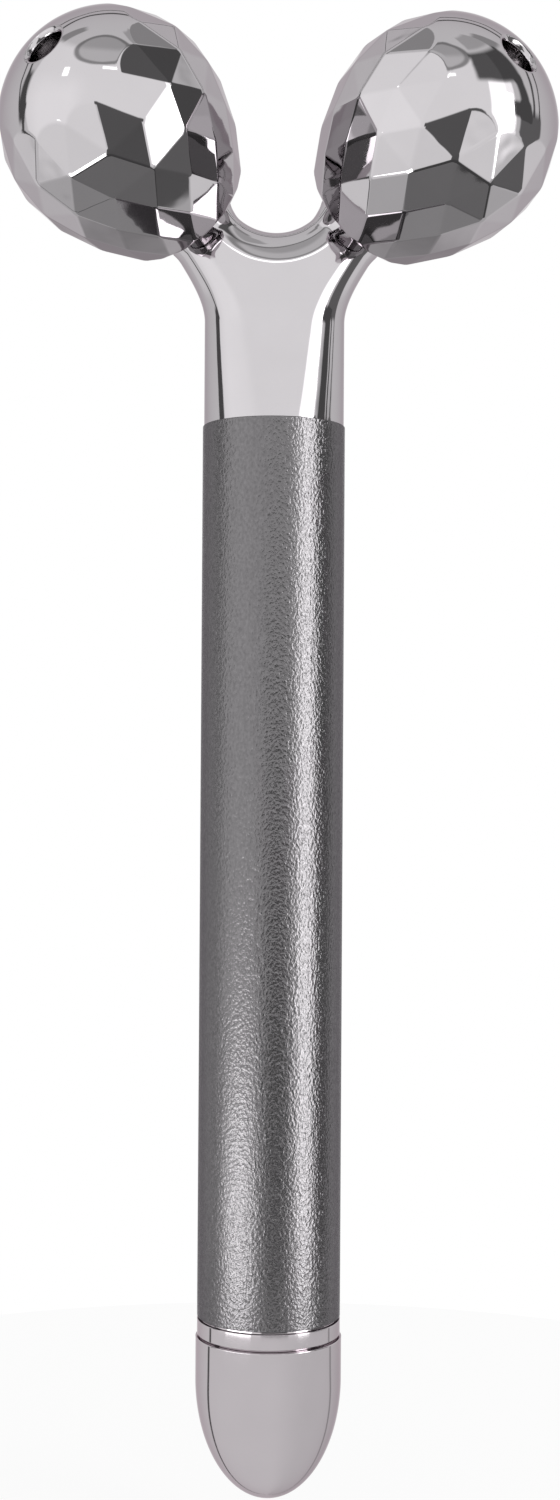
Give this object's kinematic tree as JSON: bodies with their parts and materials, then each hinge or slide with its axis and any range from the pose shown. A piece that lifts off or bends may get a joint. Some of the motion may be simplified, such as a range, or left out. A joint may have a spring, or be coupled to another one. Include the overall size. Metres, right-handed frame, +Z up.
{
  "type": "facial toning roller wand",
  "caption": "Hand-held facial toning wand: round handle with a screw cap, vibration motor, and a forked head with faceted chrome rollers.",
  "frame": {"origin": "on the handle's axis, at the lower end of the handle sleeve, where the collar ring begins", "axes": "+Z up the handle towards the rollers, +X to the right seen from the front, -Y to the front, where the rollers lean"},
  "size_m": [0.068, 0.0345, 0.1831],
  "materials": {
    "chrome_plate": "mirror-bright chrome plate",
    "roller_chrome": "mirror-bright chrome plate on facets",
    "satin_chrome": "slightly softer chrome plate",
    "gunmetal_sleeve": "dark grey, finely pebbled, half gloss",
    "plain_steel": "bare turned steel",
    "dark_screw": "dark plated steel",
    "bearing_bronze": "sintered bronze",
    "contact_brass": "bare brass",
    "winding_copper": "enamelled copper wire",
    "magnet_iron": "dull ferrite",
    "cell_jacket": "plain dark jacket",
    "grey_plastic": "moulded",
    "white_plastic": "moulded",
    "red_lead": "lead insulation",
    "black_rubber": "soft black"
  },
  "bodies": {
    "handle": {"roller_fork": "chrome_plate", "handle_sleeve": "gunmetal_sleeve", "collar_ring": "satin_chrome", "seal_ring": "black_rubber", "battery_tube": "grey_plastic", "battery_cell": "cell_jacket", "positive_contact": "contact_brass", "negative_strip": "contact_brass", "positive_lead": "red_lead", "negative_lead": "black_rubber", "motor_holder": "grey_plastic", "motor_can": "plain_steel", "motor_rear_cap": "white_plastic", "motor_magnets": "magnet_iron", "left_axle_pin": "plain_steel", "right_axle_pin": "plain_steel", "left_thrust_washer": "white_plastic", "right_thrust_washer": "white_plastic", "left_retaining_screw": "dark_screw", "right_retaining_screw": "dark_screw"},
    "left_roller": {"left_roller_shell": "roller_chrome", "left_roller_closing_disc": "roller_chrome", "left_inner_bush": "bearing_bronze", "left_outer_bush": "bearing_bronze"},
    "right_roller": {"right_roller_shell": "roller_chrome", "right_roller_closing_disc": "roller_chrome", "right_inner_bush": "bearing_bronze", "right_outer_bush": "bearing_bronze"},
    "motor_drive": {"motor_rotor": "winding_copper", "motor_shaft": "plain_steel", "eccentric_weight": "plain_steel"},
    "cap_contact": {"contact_plate": "contact_brass", "battery_spring": "plain_steel"},
    "cap": {"end_cap": "satin_chrome"}
  },
  "joints": [
    {"name": "left_roller_spin", "type": "hinge", "parent": "handle", "child": "left_roller", "pos_m": [-0.02002, -0.01132, 0.14648], "axis": [-0.5781, -0.6561, 0.4851], "continuous": true},
    {"name": "right_roller_spin", "type": "hinge", "parent": "handle", "child": "right_roller", "pos_m": [0.02002, -0.01132, 0.14648], "axis": [0.5781, -0.6561, 0.4851], "continuous": true},
    {"name": "motor_spin", "type": "hinge", "parent": "handle", "child": "motor_drive", "pos_m": [0, 0, 0.1], "axis": [0, 0, 1], "continuous": true},
    {"name": "cap_travel", "type": "slide", "parent": "handle", "child": "cap_contact", "axis": [0, 0, -1], "range_m": [0, 0.005]},
    {"name": "cap_turn", "type": "hinge", "parent": "cap_contact", "child": "cap", "pos_m": [0, 0, -0.01], "axis": [0, 0, -1], "range_deg": [0, 1440]}
  ],
  "couplings": [
    {"joint": "cap_travel", "follows": "cap_turn", "m_per_rad": 0.00019894}
  ]
}
